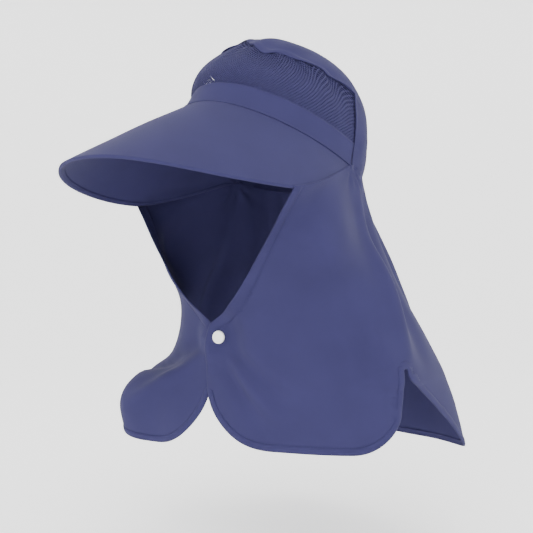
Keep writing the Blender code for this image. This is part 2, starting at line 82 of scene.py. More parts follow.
# The gathered edge between net and cloth: turn up from the ear and angle from the front, in degrees.
NET_EDGE = (
    (32.0, 101.0),
    (34.5, 86.0),
    (37.5, 79.5),
    (41.0, 77.0),
    (44.0, 69.0),
    (47.5, 65.0),
    (53.0, 63.0),
    (58.0, 60.0),
    (63.5, 56.5),
    (74.5, 58.5),
    (90.0, 65.0),
)
EDGE_GATHER = 0.0008
EDGE_WAVES = 30
EDGE_WANDER = 2.0
NET_KNEE = 0.44
NET_SWELL = 0.07
EAR_TURN = 0.8
# A row for each arch: angle from the front in degrees, reach as a share of CROWN_HEIGHT, squareness.
CROWN_ARCHES = (
    (50.0, 1.020, 2.40),
    (58.0, 1.040, 2.40),
    (66.0, 1.040, 2.45),
    (79.0, 0.975, 2.60),
    (88.0, 0.925, 2.75),
    (100.0, 0.872, 2.80),
    (111.0, 0.812, 2.70),
    (122.0, 0.748, 2.55),
    (134.0, 0.645, 2.35),
    (149.0, 0.538, 2.20),
    (170.0, 0.455, 2.10),
    (194.0, 0.400, 2.00),
    (210.0, 0.390, 2.00),
)
GATHER_DEPTH = 0.0016
GATHER_WAVES = 22
# How fast the shape of each edge fades into the crown's cloth, as a power.
SIDE_EDGE_FADE = 3
TOP_EDGE_FADE = 12
NAPE_FADE = 6

# Brim.
BRIM_REACH = 0.2350
BRIM_TIP_Z = -0.0095
BRIM_HALF_WIDTH = 0.1185
BRIM_CORNER_Y = -0.0990
BRIM_CORNER_Z = -0.0330
BRIM_ROUND = 0.66
BRIM_ARCH = 0.01
BRIM_CORNER_SHARE = 0.66
BRIM_CORNER_ROUND = 0.55
# How the side edge leaves the corner, as shares of its span back and up, and its straight end.
BRIM_SIDE_BACK = 0.40
BRIM_SIDE_UP = 0.20
BRIM_SIDE_STRAIGHT = 0.30

# Neck flap.
SHOULDER_HALF_WIDTH = 0.1570
CHEST_REACH = 0.1000
BACK_REACH = 0.1500
NOTCH_DROP = 0.1900
LOBE_LENGTH = 0.0740
RIGHT_LOBE_LENGTH = 0.0830
BACK_LENGTH = 0.0930
THROAT_REACH = 0.0912
THROAT_DROP = 0.1515
LAP = 0.0085
LAP_STEP = 0.0022
# Below the throat: how soon the lap is full, how fast the fronts part again and how far they lean out.
LAP_START = 0.15
LAP_PARTING = 1.9
LOBE_LEAN = 0.09
# The front edge's two pull points: out as a share of the brim corner's, ahead as a share of
# THROAT_REACH, drop as a share of the way to the throat.
FRONT_EDGE_PULLS = (
    (0.32, 1.096, 0.90),
    (0.24, 1.040, 0.84),
)
FLAP_TOP_SPACING = 1.3
NOTCH_GAP = 0.04
# Where the lines down the flap stand at each level: out from the middle as a share of
# SHOULDER_HALF_WIDTH, ahead of the seat as a share of CHEST_REACH, back from it as a share of
# BACK_REACH. Level 0 is the top seam, 1 the notches and 2 the hem. Swell is how far the right
# front stands ahead of the left. The columns are: level, chest out, ahead, flank out, ahead,
# side out, back, rear out, back, quarter out, back, middle back, swell.
FLAP_LEVELS = (
    (0.34, 0.600, 0.860, 0.780, 0.460, 0.645, 0.060, 0.540, 0.360, 0.340, 0.580, 0.600, 0.00),
    (0.67, 0.420, 0.790, 0.740, 0.380, 0.855, 0.060, 0.665, 0.465, 0.450, 0.720, 0.730, 0.00),
    (1.00, 0.370, 0.850, 0.745, 0.430, 1.000, 0.000, 0.790, 0.640, 0.500, 0.810, 0.820, 0.12),
    (1.25, 0.375, 0.850, 0.755, 0.430, 1.000, 0.000, 0.820, 0.700, 0.525, 0.860, 0.865, 0.56),
    (1.55, 0.380, 0.850, 0.770, 0.430, 0.990, 0.000, 0.845, 0.765, 0.555, 0.920, 0.925, 0.74),
    (2.00, 0.385, 0.830, 0.775, 0.420, 0.980, 0.010, 0.868, 0.815, 0.590, 0.985, 1.000, 0.68),
)
FLANK_SWELL = 0.35
# How the hem rounds each lobe's corner: the level where it leaves the edge, its share of the width.
LOBE_INNER_ROUND = (1.28, 0.40)
LOBE_OUTER_ROUND = (1.52, 0.28)
RIGHT_OUTER_ROUND = (1.16, 0.56)
# The back panel's side edges: the level where they start, the share of the width they slant
# over, and how sharp the tips are, as a power.
BACK_START = 1.03
BACK_SLANT = 0.17
BACK_TIP_SHARPNESS = 7
# A row for each soft fold: side, line and level where it starts and ends, height and half-width.
FLAP_FOLDS = (
    (1, 0.30, 0.86, 1.30, 1.35, -0.0060, 0.0090),
    (1, 0.25, 0.92, 1.05, 1.75, -0.0050, 0.0090),
    (1, 0.22, 0.90, 1.20, 1.55, 0.0030, 0.0070),
    (1, 0.30, 0.00, 2.70, 0.95, 0.0070, 0.0130),
    (1, 1.60, 0.60, 2.30, 1.10, -0.0060, 0.0200),
    (1, 3.05, 0.08, 3.10, 0.90, 0.0060, 0.0100),
    (1, 3.60, 0.08, 3.45, 0.90, -0.0060, 0.0140),
    (-1, 0.45, 0.98, 1.60, 1.60, 0.0060, 0.0090),
    (-1, 0.40, 0.90, 2.20, 1.20, -0.0050, 0.0090),
    (-1, 0.30, 0.00, 2.70, 0.95, 0.0060, 0.0130),
    (-1, 3.05, 0.08, 3.10, 0.90, 0.0060, 0.0100),
    (-1, 3.60, 0.08, 3.45, 0.90, -0.0060, 0.0140),
    (1, 5.00, 0.05, 5.10, 1.60, 0.0060, 0.0160),
    (1, 4.50, 0.10, 4.40, 1.50, -0.0050, 0.0150),
    (1, 5.60, 0.10, 5.70, 1.70, -0.0050, 0.0160),
    (-1, 5.00, 0.05, 4.90, 1.60, 0.0060, 0.0160),
    (-1, 4.40, 0.10, 4.30, 1.50, -0.0050, 0.0150),
)

# How folds fade: at the top seam, by level, at the front edges, by line, and at their own ends.
FOLD_TOP_FADE = 0.12
FOLD_EDGE_FADE = 0.25
FOLD_END_SHARE = 0.12

# Snap button.
SNAP_LINE = 0.21
SNAP_TURN = 20.0
# Where the fronts are pressed flat: all flat and last pressed, in snap radii, and lines taken in.
PRESS_FLAT = 1.4
PRESS_REACH = 5.5
PRESS_LINES = 2
SNAP_DROP = 0.1615
SNAP_RADIUS = 0.0062
SNAP_HEIGHT = 0.0026
POST_RADIUS = 0.0019
SOCKET_HEIGHT = 0.0020
# The cap from its dish over its rim: shares of SNAP_RADIUS and of SNAP_HEIGHT.
SNAP_RIM = (
    (0.50, 0.80), (0.62, 0.84), (0.70, 0.97), (0.80, 1), (0.90, 0.93), (0.97, 0.74), (1, 0.48),
    (0.985, 0.20), (0.94, 0),
)

# Cloth, hems and seams of the scene.
CLOTH = 0.0010
HEM = 0.0020
HEM_WIDTH = 0.0064
HEM_PUFF = 0.0003
HEM_GROOVE = 0.00035
HEM_RINGS = (0.0007, 0.0018, 0.0036, 0.0052, 0.0059, 0.0064, 0.0069, 0.0077, 0.0090)
EDGE_STEP = 0.0018
CLOTH_STEP = 0.0036
STITCH_PITCH = 0.0028
STITCH_LENGTH = 0.0021
THREAD_RADIUS = 0.00022
LINE_SPAN = 0.052
LEVEL_SPANS = (0.190, 0.080)

# How far the flap laps up over the seam above it: along the cloth, out, and the level it has gone by.
TOP_LAP = 0.0024
TOP_LAP_LIFT = 0.0009
TOP_LAP_FADE = 0.04
# How much deeper the folds are here than in the solid.
FOLD_SCALE = 1.3
# Pleats round each ear knot: height, how far they reach, where they are full, and how many.
PUCKER_HEIGHT = 0.0016
PUCKER_REACH = 0.024
PUCKER_START = 0.007
PUCKER_WAVES = 10
# Soft noise on each cloth: the size of its bumps, its seed and its height.
FLAP_NOISE = (0.045, 3.1, 0.0010)
CROWN_NOISE = (0.040, 7.3, 0.0010)
BRIM_NOISE = (0.060, 2.2, 0.0007)
NOISE_TOP_FADE = 0.2
# The hem's puff, in from its edge and before its stitches, and its groove's half-width.
HEM_PUFF_RISE = 0.0020
HEM_PUFF_FALL = 0.0012
HEM_GROOVE_WIDTH = 0.0007
# Neighbours farther apart than this belong to two rows of stitches.
RUN_BREAK = 0.004
# The crown's cloth laps over the net: its lift, and the shares where the lap starts and ends.
CROWN_LAP = 0.0009
CROWN_LAP_SHARES = (-0.014, 0.02)
# The band: its lower edge tucked in, its bulge, its rolled upper edge and its layers of cloth.
BAND_TUCK = 0.0016
BAND_BULGE = 0.0006
BAND_ROLL = 0.0004
BAND_LAYERS = 1.2

# Net: its cells, and how wide each hole is as a share of its cell, low down and at the top.
NET_PITCH = 0.0031
NET_ROWS = 31
NET_RADIUS = 0.104
NET_THICKNESS = 0.0005
NET_HOLE = 0.50
NET_HOLE_TOP = 0.76
NET_TOP_START = 0.6
# Ripples under the gathered edge: height, number and start. Then the net's depth and its middle.
NET_RIPPLE = 0.0006
NET_RIPPLES = 36
NET_RIPPLE_START = 0.62
NET_SINK = 0.0005
NET_MIDDLE_Z = 0.02

# Brim.
BRIM_HALF = 0.0012
BRIM_STRIP = 0.0060
# The brim's ends as a share of EAR_ANGLE, its hem strip's most share, and the plain top's stop in strips.
BRIM_ENDS = 0.993
BRIM_STRIP_MOST = 0.45
BRIM_PLAIN_STOP = 1.35
BRIM_STRIP_ROWS = (1.0, 0.7, 0.4, 0.12)
# The rolled edge: the angles of its rows, in degrees, and how far its lower ones stand out.
BRIM_EDGE_ANGLES = (60, 25, -10, -45, -75)
BRIM_EDGE_ROLL = 1.3
BRIM_TOP = (0.0, 0.004, 0.02, 0.07, 0.13, 0.2, 0.28, 0.37, 0.46, 0.55, 0.64, 0.73, 0.82, 0.91, 1.0)
# The underside's hem strip: how far in from the edge, in strip widths, and how far down, in halves.
BRIM_UNDER = ((0.12, 1.45), (0.40, 1.45), (0.80, 1.45), (0.96, 1.40), (1.04, 0.90), (1.20, 0.95))
# Soft folds from each ear knot: angle and share out where each starts and ends, height, width.
BRIM_FOLDS = (
    (66, 0.97, 92, 0.60, -0.0012, 0.0045),
    (62, 0.90, 88, 0.50, 0.0012, 0.0060),
)

# Finish.
# A wave texture of scale 1 has about this many metres from band to band.
WAVE_UNIT = 0.314
WEAVE_PITCH = 0.0006
CLOTH_COLOUR = (0.0272, 0.0253, 0.0785)
NET_COLOUR = (0.028, 0.0262, 0.078)
THREAD_COLOUR = (0.025, 0.0235, 0.074)
SNAP_COLOUR = (0.90, 0.89, 0.88)

# Lights and view.
CAMERA_PLACE = (0.5723, -0.5375, -0.1040)
CAMERA_AZIMUTH = 48.0
CAMERA_PITCH = 0.5
CAMERA_LENS = 51.33
SENSOR = 36.0
FLOOR_DROP = 0.10
WORLD_STRENGTH = 1.1
BACKDROP_GLOW = 0.6
# A row for each light: name, place, size, power.
LIGHTS = (
    ("key", (0.9, -1.3, 1.6), 1.6, 27),
    ("top", (-0.3, 0.2, 2.0), 1.8, 11),
)


def lerp(a, b, k):
    return a + (b - a) * k


def power(value, exponent):
    return math.copysign(abs(value) ** exponent, value)


def catmull(points, k):
    """A smooth curve through evenly spaced points, at k from 0 to the number of spans."""
    spans = len(points) - 1
    i = min(max(int(math.floor(k)), 0), spans - 1)
    u = k - i
    before = points[i - 1] if i > 0 else points[i] * 2 - points[i + 1]
    after = points[i + 2] if i + 2 <= spans else points[i + 1] * 2 - points[i]
    a = points[i] * 2
    b = points[i + 1] - before
    c = before * 2 - points[i] * 5 + points[i + 1] * 4 - after
    d = points[i] * 3 - before - points[i + 1] * 3 + after
    return (a + b * u + c * (u * u) + d * (u * u * u)) * 0.5


def place_in(keys, value):
    """Where a value falls in a rising list of keys, counted in spans."""
    i = 0
    while i < len(keys) - 2 and value > keys[i + 1]:
        i += 1
    return i + (value - keys[i]) / (keys[i + 1] - keys[i])


def bezier(p, k):
    """A cubic curve with the four points p, at k from 0 to 1."""
    j = 1 - k
    return p[0] * j**3 + p[1] * (3 * j * j * k) + p[2] * (3 * j * k * k) + p[3] * k**3


def mirrored(point):
    return Vector((-point.x, point.y, point.z))


def seat_ring(angle):
    """The band's lower edge, at an angle in degrees from the front, positive to the wearer's left."""
    a = math.radians(angle)
    z = SEAT_MID_Z + SEAT_RISE * math.cos(a) + SEAT_DIP * math.cos(2 * a)
    return Vector((SEAT_HALF_WIDTH * math.sin(a), SEAT_SHIFT - SEAT_HALF_LENGTH * math.cos(a), z))


def band_top(angle):
    """The band's upper edge: it leans in over the forehead and stands nearly upright at the ears."""
    a = math.radians(angle)
    lean_x = -BAND_LEAN_SIDE * math.sin(a)
    lean_y = BAND_LEAN_EAR + BAND_LEAN_FRONT * math.cos(a / 2) ** 2
    rise = math.sqrt(1 - lean_x**2 - lean_y**2)
    return seat_ring(angle) + Vector((lean_x, lean_y, rise)) * BAND_WIDTH


def hood(angle, turn):
    """A point of the crown's hood: the arch at an angle from the front, turned up from the left ear."""
    place = place_in([row[0] for row in CROWN_ARCHES], angle)
    reach = catmull([row[1] for row in CROWN_ARCHES], place)
    squareness = catmull([row[2] for row in CROWN_ARCHES], place)
    t = math.radians(turn)
    across = CROWN_HALF_WIDTH * power(math.cos(t), 2 / squareness)
    out = CROWN_HEIGHT * reach * power(math.sin(t), 2 / squareness)
    a = math.radians(angle)
    return Vector((across, PIVOT_Y - out * math.cos(a), PIVOT_Z + out * math.sin(a)))


def net_edge_angle(turn):
    """The angle of the arch that the gathered edge between net and cloth has reached."""
    low = max(90 - abs(90 - turn), NET_EDGE[0][0])
    return catmull([row[1] for row in NET_EDGE], place_in([row[0] for row in NET_EDGE], low))


def gathered(turn):
    """A point of the gathered edge between net and cloth, rippled out from the head."""
    point = hood(net_edge_angle(turn), turn)
    out = (point - Vector((0, PIVOT_Y, PIVOT_Z))).normalized()
    t = math.radians(turn)
    return point + out * EDGE_GATHER * math.cos(EDGE_WAVES * t + EDGE_WANDER * math.sin(3 * t))


def net_edge(angle):
    """The net's upper edge above the band's point at an angle from the front."""
    return gathered(90 - (90 - NET_EDGE[0][0]) * angle / EAR_ANGLE)


def net_point(angle, k):
    """A point of the net, from the band's upper edge at k 0 to the gathered edge at k 1."""
    low = band_top(angle)
    high = net_edge(angle)
    swell = 1 + NET_SWELL * math.cos(math.radians(angle) / 2) ** 2
    knee = Vector((low.x * swell, low.y * swell, lerp(low.z, high.z, NET_KNEE)))
    return low * (1 - k) ** 2 + knee * (2 * k * (1 - k)) + high * k**2


def crown_rim(turn):
    """The front edge of the crown's cloth: up the band's and the net's rear edges, then over the top."""
    side = 1 if turn <= 90 else -1
    low = 90 - abs(90 - turn)
    if low > NET_EDGE[0][0]:
        return gathered(turn)
    ear = EAR_ANGLE * side
    k = low / NET_EDGE[0][0]
    height = net_edge(ear).z - seat_ring(ear).z
    band_share = (band_top(ear).z - seat_ring(ear).z) / height
    if k < band_share:
        return seat_ring(ear).lerp(band_top(ear), k / band_share)
    return net_point(ear, (k - band_share) / (1 - band_share))


def nape_gather(turn):
    """The ripple of the elastic waist, out from the neck."""
    t = math.radians(turn)
    swing = GATHER_DEPTH * math.cos(GATHER_WAVES * t) * math.sin(t)
    return Vector((math.cos(t), math.sin(t), 0)) * swing


def crown_point(turn, k):
    """A point of the crown's cloth, from its front edge at k 0 to the nape at k 1."""
    start = net_edge_angle(turn)
    point = hood(lerp(start, NAPE_ANGLE, k), turn)
    over_top = NET_EDGE[0][0] < turn < 180 - NET_EDGE[0][0]
    fade = (1 - k) ** (TOP_EDGE_FADE if over_top else SIDE_EDGE_FADE)
    point += (crown_rim(turn) - hood(start, turn)) * fade
    return point + nape_gather(turn) * k**NAPE_FADE


def brim_side(k):
    """The brim's left side edge, from its front corner at k 0 to the ear knot at k 1."""
    ear = seat_ring(EAR_ANGLE)
    corner = Vector((BRIM_HALF_WIDTH, BRIM_CORNER_Y, BRIM_CORNER_Z))
    span = ear - corner
    first = corner + Vector((0, span.y * BRIM_SIDE_BACK, span.z * BRIM_SIDE_UP))
    last = ear - span * BRIM_SIDE_STRAIGHT
    return bezier((corner, first, last, ear), k)


def brim_front(k):
    """The brim's front edge, from its tip at k 0 to its left corner at k 1."""
    tip = Vector((0, -BRIM_REACH, BRIM_TIP_Z))
    corner = Vector((BRIM_HALF_WIDTH, BRIM_CORNER_Y, BRIM_CORNER_Z))
    first = tip + Vector((BRIM_HALF_WIDTH * BRIM_ROUND, 0, 0))
    last = corner + Vector((0, (tip.y - corner.y) * BRIM_CORNER_ROUND, 0))
    return bezier((tip, first, last, corner), k)


def brim_edge(angle):
    """The brim's outer edge opposite the seat ring's point at an angle from the front."""
    k = abs(angle) / EAR_ANGLE
    if k < BRIM_CORNER_SHARE:
        point = brim_front(k / BRIM_CORNER_SHARE)
    else:
        point = brim_side((k - BRIM_CORNER_SHARE) / (1 - BRIM_CORNER_SHARE))
    return point if angle >= 0 else mirrored(point)


def brim_point(angle, k):
    """A point of the brim, from the band's seam at k 0 to the outer edge at k 1."""
    inner = seat_ring(angle)
    outer = brim_edge(angle)
    arch = (outer - inner).length * BRIM_ARCH * 4 * k * (1 - k)
    return inner.lerp(outer, k) + Vector((0, 0, arch))


def flap_top(line):
    """The flap's top seam: line 0 is the left brim corner, 3 the ear knot, 6 the middle of the nape."""
    if line > 6:
        return mirrored(flap_top(12 - line))
    if line <= 3:
        return brim_side((line / 3) ** FLAP_TOP_SPACING)
    turn = max((line - 3) * 30, EAR_TURN)
    return hood(NAPE_ANGLE, turn) + nape_gather(turn)


def flap_z(top, line, level):
    """The height of a line of the flap at a level, from its height at the top seam."""
    if level <= 1:
        return lerp(top, -NOTCH_DROP, level)
    length = LOBE_LENGTH
    if line > 3:
        length = BACK_LENGTH if line < 9 else RIGHT_LOBE_LENGTH
    return -NOTCH_DROP - (level - 1) * length


def flap_front(level, side):
    """The flap's front edge: from the brim's corner to the throat, then down the lobe's inner side."""
    corner = brim_side(0)
    throat_level = THROAT_DROP / NOTCH_DROP
    lap = LAP_STEP / 2 * side
    if level < throat_level:
        k = level / throat_level
        throat = Vector((0, -THROAT_REACH, -THROAT_DROP))
        drop = throat.z - corner.z
        pulls = [
            Vector((corner.x * out, throat.y * ahead, corner.z + drop * down))
            for out, ahead, down in FRONT_EDGE_PULLS
        ]
        point = bezier((corner, *pulls, throat), k)
        return Vector((point.x * side, point.y - lap * k * k, point.z))
    k = level - throat_level
    out = LAP * (k * LAP_PARTING - math.sin(min(k / LAP_START, 1) * math.pi / 2))
    ahead = THROAT_REACH + lap + CHEST_REACH * LOBE_LEAN * k
    return Vector((out * side, -ahead, flap_z(0, 6 - 6 * side, level)))


def flap_controls():
    """The control points of the flap: a row for each level, from the left front edge to the right one."""
    rows = [[flap_top(line) for line in range(13)]]
    reaches = (-CHEST_REACH,) * 2 + (BACK_REACH,) * 4
    for row in FLAP_LEVELS:
        level, middle, swell = row[0], row[11], row[12]
        left = zip((*row[1:11:2], 0), (*row[2:11:2], middle), reaches)
        points = [flap_front(level, 1)]
        for line, (out, share, reach) in enumerate(left, 1):
            z = flap_z(flap_top(line).z, line, level)
            points.append(Vector((out * SHOULDER_HALF_WIDTH, share * reach, z)))
        right = [mirrored(point) for point in reversed(points[1:6])]
        right[3].y -= swell * CHEST_REACH
        right[4].y -= swell * CHEST_REACH * FLANK_SWELL
        for n, line in enumerate((9, 10, 11), 2):
            right[n].z = flap_z(flap_top(line).z, line, level)
        rows.append(points + right + [flap_front(level, -1)])
    return rows


class Flap:
    """The flap's surface: line from 0, the left front edge, to 12, the right one, and level from 0 to 2."""

    def __init__(self):
        self.rows = flap_controls()
        self.levels = [0.0] + [row[0] for row in FLAP_LEVELS]
        self.folds = []
        for side, line_a, level_a, line_b, level_b, height, width in FLAP_FOLDS:
            if side < 0:
                line_a, line_b = 12 - line_a, 12 - line_b
            ends = (self.smooth(line_a, level_a), self.smooth(line_b, level_b))
            self.folds.append((ends, height, width))
        self.snap = self.smooth(SNAP_LINE, SNAP_DROP / NOTCH_DROP)
        turn = Matrix.Rotation(math.radians(SNAP_TURN), 3, "Z")
        self.snap_face = turn @ self.normal(SNAP_LINE, SNAP_DROP / NOTCH_DROP)

    def smooth(self, line, level):
        place = place_in(self.levels, level)
        column = [catmull(row, line) for row in self.rows]
        point = catmull(column, place)
        if level < 1:
            point += (flap_top(line) - column[0]) * (1 - level) ** 2
        near_front = max(1 - line, line - 11)
        if near_front > 0:
            end, side = (0, 1) if line < 6 else (-1, -1)
            edge = [row[end] for row in self.rows]
            point += (flap_front(level, side) - catmull(edge, place)) * near_front**2
        return point

    def normal(self, line, level):
        """Out from the wearer."""
        across = self.smooth(min(line + 0.03, 12), level) - self.smooth(max(line - 0.03, 0), level)
        down = self.smooth(line, min(level + 0.02, 2)) - self.smooth(line, max(level - 0.02, 0))
        return down.cross(across).normalized()


def lobe_end(share, outer_round):
    """The level of a front lobe's hem, at a share of the way from its inner to its outer edge."""
    level, width = LOBE_INNER_ROUND
    if share < width:
        return lerp(level, 2, math.sqrt(1 - (1 - share / width) ** 2))
    level, width = outer_round
    if share > 1 - width:
        return lerp(level, 2, math.sqrt(max(0, 1 - (1 - (1 - share) / width) ** 2)))
    return 2


def back_end(share):
    """The level of the back panel's hem, at a share of the way from the left notch to the right."""
    near = min(share, 1 - share) / BACK_SLANT
    rounded = near / (1 + near**BACK_TIP_SHARPNESS) ** (1 / BACK_TIP_SHARPNESS)
    return lerp(BACK_START, 2, rounded)


def array(points):
    return np.array([tuple(point) for point in points])


def unit(vectors):
    return vectors / np.maximum(np.linalg.norm(vectors, axis=-1, keepdims=True), 1e-12)


def smoothstep(low, high, x):
    k = np.clip((x - low) / (high - low), 0, 1)
    return k * k * (3 - 2 * k)


def noise_at(points, scale, seed, height):
    """Soft noise at each point, with bumps of about the given size and height."""
    shift = Vector((seed, seed * 0.37, -seed))
    return np.array([noise.noise(Vector(point) / scale + shift) for point in points]) * height


class Sheet:
    """A smooth surface kept as a grid of points over line and level, read anywhere between them."""

    def __init__(self, function, lines, levels):
        self.start = (lines[0], levels[0])
        self.step = (lines[1] - lines[0], levels[1] - levels[0])
        self.end = (lines[-1], levels[-1])
        grid = np.array([[tuple(function(a, b)) for b in levels] for a in lines])
        grid = np.concatenate([2 * grid[:1] - grid[1:2], grid, 2 * grid[-1:] - grid[-2:-1]])
        ends = (2 * grid[:, :1] - grid[:, 1:2], 2 * grid[:, -1:] - grid[:, -2:-1])
        self.grid = np.concatenate([ends[0], grid, ends[1]], axis=1)

    def spans(self, value, axis):
        place = (np.clip(value, self.start[axis], self.end[axis]) - self.start[axis]) / self.step[axis]
        i = np.clip(np.floor(place).astype(int), 0, self.grid.shape[axis] - 4)
        t = (place - i)[:, None]
        shares = (
            -0.5 * t + t**2 - 0.5 * t**3,
            1 - 2.5 * t**2 + 1.5 * t**3,
            0.5 * t + 2 * t**2 - 1.5 * t**3,
            -0.5 * t**2 + 0.5 * t**3,
        )
        return i, shares

    def at(self, line, level):
        i, across = self.spans(line, 0)
        j, down = self.spans(level, 1)
        total = np.zeros((len(i), 3))
        for m in range(4):
            for n in range(4):
                total += self.grid[i + m, j + n] * across[m] * down[n]
        return total

    def slopes(self, line, level):
        """How the surface runs along the lines' and the levels' directions, per unit."""
        a, b = np.minimum(line + 0.02, self.end[0]), np.maximum(line - 0.02, self.start[0])
        c, d = np.minimum(level + 0.01, self.end[1]), np.maximum(level - 0.01, self.start[1])
        across = (self.at(a, level) - self.at(b, level)) / (a - b)[:, None]
        down = (self.at(line, c) - self.at(line, d)) / (c - d)[:, None]
        return across, down

    def normals(self, line, level):
        across, down = self.slopes(line, level)
        return unit(np.cross(down, across))


def plane_from(line, level):
    """Where a point of the flap lies when the flap is laid out flat, roughly."""
    upper, lower = LEVEL_SPANS
    return np.stack([line * LINE_SPAN, np.where(level < 1, level * upper, upper + (level - 1) * lower)], 1)


def plane_to(flat):
    upper, lower = LEVEL_SPANS
    y = flat[:, 1]
    return flat[:, 0] / LINE_SPAN, np.where(y < upper, y / upper, 1 + (y - upper) / lower)


def resampled(line, level, points, step):
    """Places along a path, one for each step of its length, with both ends kept."""
    length = np.concatenate([[0], np.cumsum(np.linalg.norm(np.diff(points, axis=0), axis=1))])
    marks = np.linspace(0, length[-1], max(2, round(length[-1] / step) + 1))
    return np.interp(marks, length, line), np.interp(marks, length, level)


def hem_path():
    """The hemmed edge in lines and levels: down the left front, round each panel, up the right front."""
    steps = np.linspace(0, 1, 161)
    shares = 0.5 - 0.5 * np.cos(np.pi * steps)
    inner = LOBE_INNER_ROUND[0]
    left, right = 3 - NOTCH_GAP, 9 + NOTCH_GAP
    path = [(0, inner * k) for k in steps]
    path += [(left * s, lobe_end(s, LOBE_OUTER_ROUND)) for s in shares]
    path += [(left, lerp(LOBE_OUTER_ROUND[0], 1, k)) for k in steps[1::8]]
    path += [(3 - NOTCH_GAP * math.cos(a), 1 - 0.012 * math.sin(a)) for a in np.pi * steps[1::16]]
    path += [(lerp(3 + NOTCH_GAP, 9 - NOTCH_GAP, s), back_end(s)) for s in shares]
    path += [(9 - NOTCH_GAP * math.cos(a), 1 - 0.012 * math.sin(a)) for a in np.pi * steps[:-1:16]]
    path += [(right, lerp(1, RIGHT_OUTER_ROUND[0], k)) for k in steps[:-1:8]]
    path += [(lerp(right, 12, s), lobe_end(1 - s, RIGHT_OUTER_ROUND)) for s in shares]
    path += [(12, inner * (1 - k)) for k in steps]
    return np.array(path).T


def inside(flat, outline):
    """Which points of the plane lie inside a closed outline."""
    x, y = flat[:, 0], flat[:, 1]
    result = np.zeros(len(flat), bool)
    for a, b in zip(outline, np.roll(outline, -1, axis=0)):
        crosses = (a[1] > y) != (b[1] > y)
        if crosses.any():
            k = (y[crosses] - a[1]) / (b[1] - a[1])
            result[crosses] ^= x[crosses] < a[0] + k * (b[0] - a[0])
    return result


def nearest(points, others):
    """How far each point is from the nearest of the others."""
    tree = kdtree.KDTree(len(others))
    for n, point in enumerate(others):
        tree.insert(point, n)
    tree.balance()
    return np.array([tree.find(point)[2] for point in points])


